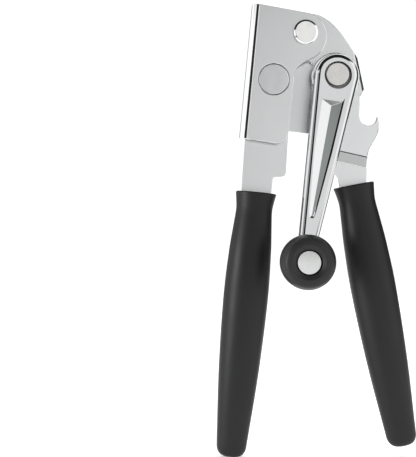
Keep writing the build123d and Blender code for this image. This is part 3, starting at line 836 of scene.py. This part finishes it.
round_edges(crank, [edge for edge in bent_edges(crank, 0.2) if on_groove_side(edge)], 0.7, 6)
round_edges(crank, bent_edges(crank, math.radians(14)), 0.22, 3)
arm = make_piece("crank_arm_detailed", crank, "crank_arm", "polished_chrome")
for finish in ("painted_recess_shade", "painted_hip_shade", "shaded_chrome"):
    arm.data.materials.append(MATERIALS[finish])
RECESS = 1
HIP_FACET = 2
RIGHT_FACET = 3
# the eye's wall and floor, the groove's upper slope and its right side are darker than the arm's face: painted
# shade, in darker copies of the chrome
for face in arm.data.polygons:
    offset = face.center - EYE_CENTRE
    from_eye = math.hypot(offset.x, offset.z) / MM
    sunk = (face.center.y - PIVOT.y) / MM - CRANK_FRONT
    faces_down = face.normal.y < -0.4 and face.normal.z < -0.35
    faces_left = face.normal.y < -0.8 and face.normal.x < -0.3 and face.area > 2 * MM * MM
    if from_eye < EYE_RADIUS + 0.02 and 0.2 < sunk < EYE_DEPTH + 0.01:
        face.material_index = RECESS
    elif faces_down and 13 < from_eye < 18.5 and sunk > 0.1:
        face.material_index = HIP_FACET
    elif faces_left and 0.1 < sunk < 2.5:
        face.material_index = RIGHT_FACET

SHAFT_HEAD = 6.0
SHAFT_NECK = 2.8
FEED_SEAT = 3.0
HEAD_FRONT = front_of("crank_shaft")
HEAD_BACK = HEAD_FRONT + 1.8
FEED_BACK = back_of("feed_wheel")
SHAFT_BACK = back_of("crank_shaft")
turned(
    "crank_shaft_detailed", "crank_shaft", "shaft_face", SHAFT,
    [
        (0, HEAD_FRONT, 0),
        (SHAFT_HEAD, HEAD_FRONT, 0.4),
        (SHAFT_HEAD, HEAD_BACK, 0),
        (0, HEAD_BACK, 0),
    ],
    [
        (0, HEAD_BACK, 0),
        (SHAFT_NECK, HEAD_BACK, 0),
        (SHAFT_NECK, CRANK_BACK, 0),
        (JOURNAL, CRANK_BACK, 0.1),
        (JOURNAL, HALF_SHEET, 0.1),
        (FEED_SEAT, HALF_SHEET, 0),
        (FEED_SEAT, FEED_BACK, 0),
        (FEED_THREAD, FEED_BACK, 0),
        (FEED_THREAD, SHAFT_BACK, 0.45),
        (0, SHAFT_BACK, 0),
    ],
)

# ---- Knob ----

KNOB_FRONT = front_of("knob")
KNOB_BACK = back_of("knob")
KNOB_RADIUS = radius_of("knob")
CAP_RADIUS = radius_of("knob_cap")
CAP_FRONT = front_of("knob_cap")
CAP_BACK = back_of("knob_cap")


SLEEVE_RADIUS = 4.5
PIN_HEAD_ROOM = 5.6
PIN_SEAT = -27.05
CAP_RECESS = CAP_RADIUS + 0.5
# the rim and the face of the knob as a rounded outline, then its rear and its stepped bore
turned(
    "knob_detailed", "knob", "knob_plastic", KNOB,
    [
        (CAP_RECESS, CAP_BACK, 0.0),
        (CAP_RECESS, KNOB_FRONT + 0.9, 0.5),
        (KNOB_RADIUS - 5.2, KNOB_FRONT, 1.6),
        (KNOB_RADIUS - 1.7, KNOB_FRONT + 0.7, 3.2),
        (KNOB_RADIUS, KNOB_FRONT + 5.2, 4.0),
        (KNOB_RADIUS, KNOB_FRONT + 11.0, 6.0),
        (KNOB_RADIUS - 1.8, KNOB_BACK, 0.8),
        (SLEEVE_RADIUS, KNOB_BACK, 0.0),
        (SLEEVE_RADIUS, PIN_SEAT, 0.0),
        (PIN_HEAD_ROOM, PIN_SEAT, 0.0),
        (PIN_HEAD_ROOM, CAP_BACK, 0.0),
    ],
)
turned(
    "knob_cap_detailed", "knob_cap", "cap_face", KNOB,
    [
        (0, CAP_FRONT + 0.25, 0),
        (CAP_RADIUS - 0.3, CAP_FRONT, 0.08),
        (CAP_RADIUS - 0.05, CAP_FRONT + 0.35, 0.1),
        (CAP_RADIUS, CAP_BACK, 0),
        (0, CAP_BACK, 0),
    ],
)
softened("knob_pin", "pin_face", 0.15)
softened("knob_sleeve", "nylon", 0.15)

# ---- Camera ----

# The camera stands level, in front of the left grip at about half height.
VIEW_RIGHT = -52.35
VIEW_UP = -105.19
VIEW_DISTANCE = 420.0
VIEW_WIDTH = 224.64
SENSOR = 36.0
camera_data = bpy.data.cameras.new("camera")
camera_data.sensor_fit = "HORIZONTAL"
camera_data.sensor_width = SENSOR
camera_data.lens = SENSOR * VIEW_DISTANCE / VIEW_WIDTH
camera_data.clip_start = 0.01
camera = bpy.data.objects.new("camera", camera_data)
camera.location = PIVOT + Vector((VIEW_RIGHT, -VIEW_DISTANCE, VIEW_UP)) * MM
camera.rotation_euler = (math.radians(90), 0, 0)
bpy.context.scene.collection.objects.link(camera)
bpy.context.scene.camera = camera

# ---- Floor ----


def pale_floor():
    """A wide plain floor under the opener; its size is in metres."""
    half = 1.4
    in_front = 0.55
    made = bmesh.new()
    bmesh.ops.create_grid(made, x_segments=8, y_segments=8, size=half)
    mesh = bpy.data.meshes.new("floor")
    made.to_mesh(mesh)
    made.free()
    floor = bpy.data.objects.new("floor", mesh)
    floor.location = (0, half - in_front, CAD_BOX[0].z - 0.05 * MM)
    bpy.context.scene.collection.objects.link(floor)
    material, tree, shader, place = new_surface("floor_paint")
    mottled = cloud(tree, place, 0.01, 2.0)
    # a little darker in front of the opener, for the undersides of the metal to reflect
    front = (30.0, -200.0 - floor.location.y / MM, 0.0)
    inputs = {0: place, 1: front}
    away = add_node(tree, "ShaderNodeVectorMath", inputs, operation="DISTANCE").outputs["Value"]
    share = between(tree, away, 40.0, 220.0, 0.86, 1.0)
    shade = add_node(tree, "ShaderNodeCombineXYZ", {axis: share for axis in "XYZ"})
    paint = tint(tree, mottled, (0.93, 0.93, 0.93), (0.96, 0.96, 0.96))
    colour = stretched(tree, paint, shade.outputs[0])
    connect(tree, shader, colour, between(tree, mottled, 0.3, 0.7, 0.75, 0.85), mottled, 0.02, 0.1)
    shader.inputs["Emission Color"].default_value = (1, 1, 1, 1)
    glow = between(tree, away, 40.0, 220.0, 0.38, 0.5)
    tree.links.new(glow, shader.inputs["Emission Strength"])
    shader.inputs["Specular IOR Level"].default_value = 0.1
    mesh.materials.append(material)


pale_floor()

# ---- Studio light ----


def studio():
    """A white room for the metal to reflect, with dark screens above and left of the camera and behind
    the opener. The camera itself sees plain white.
    """
    world = bpy.data.worlds.new("studio")
    bpy.context.scene.world = world
    world.use_nodes = True
    tree = world.node_tree
    tree.nodes.clear()
    direction = add_node(tree, "ShaderNodeTexCoord").outputs["Generated"]
    parts = add_node(tree, "ShaderNodeSeparateXYZ", {0: direction})
    right, away, up = parts.outputs
    # headings are degrees to the right of -Y, where the camera is, and climbs are degrees above level
    toward = calculate(tree, "MULTIPLY", away, -1.0)
    heading = calculate(tree, "DEGREES", calculate(tree, "ARCTAN2", right, toward))
    climb = calculate(tree, "DEGREES", calculate(tree, "ARCSINE", up))
    # left of the camera: a dark screen, then white
    strip = highest(
        tree, between(tree, heading, -34.0, -30.0, 1.0, 0.0), between(tree, heading, -6.0, -2.0),
        between(tree, climb, -14.0, -6.0, 1.0, 0.0),
    )
    # a dark ceiling, higher to the right of the camera and absent at the sides
    lifted = calculate(tree, "SUBTRACT", climb, between(tree, heading, 10.0, 55.0, 0.0, 18.0))
    ceiling_low = between(tree, lifted, 19.0, 25.0, 1.0, 0.0)
    ceiling_right = between(tree, heading, 95.0, 115.0)
    ceiling_left = between(tree, heading, -80.0, -62.0, 1.0, 0.0)
    ceiling = highest(tree, ceiling_low, ceiling_right, ceiling_left)
    # the room is brighter to the sides
    bright = highest(
        tree, between(tree, heading, 26.0, 42.0, 1.03, 1.4), between(tree, heading, -40.0, -30.0, 1.25, 1.03)
    )
    # dark behind the opener at its own height, and beyond the floor's front edge
    turn = calculate(tree, "ABSOLUTE", heading)
    rear_right = between(tree, heading, 70.0, 84.0, 1.0, 0.04)
    rear_left = between(tree, heading, -145.0, -122.0, 0.2, 1.0)
    rear_dark = lowest(tree, rear_right, rear_left)
    rear_low = between(tree, climb, -18.0, -10.0, 1.0, 0.0)
    rear = highest(tree, rear_dark, between(tree, climb, 25.0, 40.0), rear_low)
    edge = highest(tree, between(tree, climb, -9.0, -4.0), between(tree, turn, 40.0, 70.0))
    screens = lowest(tree, strip, ceiling, rear, edge)
    level = calculate(tree, "MULTIPLY", screens, bright)
    # dimmer behind the opener, so that its rear plates stand out from the background
    level = calculate(tree, "MULTIPLY", level, between(tree, turn, 100.0, 120.0, 1.0, 0.75))
    level = calculate(tree, "ADD", level, 0.02)
    seen = add_node(tree, "ShaderNodeLightPath").outputs["Is Camera Ray"]
    plain = add_node(tree, "ShaderNodeBackground", {"Color": (1, 1, 1, 1), "Strength": 1.1})
    room = add_node(tree, "ShaderNodeBackground", {"Color": (1, 1, 1, 1), "Strength": level})
    inputs = {0: seen, 1: room.outputs[0], 2: plain.outputs[0]}
    mixed = add_node(tree, "ShaderNodeMixShader", inputs)
    add_node(tree, "ShaderNodeOutputWorld", {"Surface": mixed.outputs[0]})


def softbox(name, place, aim, size, power, mirrored=True, lit=()):
    """A square area light that points at aim.

    It is seen in the polished metal unless mirrored is False, and it shines on all pieces unless some
    are given as lit.
    """
    data = bpy.data.lights.new(name, "AREA")
    data.size = size
    data.energy = power
    light = bpy.data.objects.new(name, data)
    light.location = place
    light.visible_glossy = mirrored
    light.rotation_euler = (Vector(aim) - Vector(place)).to_track_quat("-Z", "Y").to_euler()
    bpy.context.scene.collection.objects.link(light)
    if lit:
        receivers = bpy.data.collections.new(name + "_receivers")
        for piece in lit:
            receivers.objects.link(piece)
        light.light_linking.receiver_collection = receivers


studio()
# the softboxes' places and sizes are in metres
MIDDLE = (CAD_BOX[0] + CAD_BOX[1]) / 2
BLACK_PIECES = [bpy.data.objects[name + "_detailed"] for name in ("left_grip", "right_grip", "knob")]
softbox("key", MIDDLE + Vector((0.35, -0.35, 1.2)), MIDDLE, 0.6, 6.0, mirrored=False)
softbox("fill", MIDDLE + Vector((-0.76, -0.62, 0.0)), MIDDLE, 0.4, 4.3, lit=BLACK_PIECES)
softbox("rear", MIDDLE + Vector((0.3, 1.0, 0.8)), MIDDLE, 0.8, 2.5)

bpy.context.scene.view_settings.view_transform = "Standard"
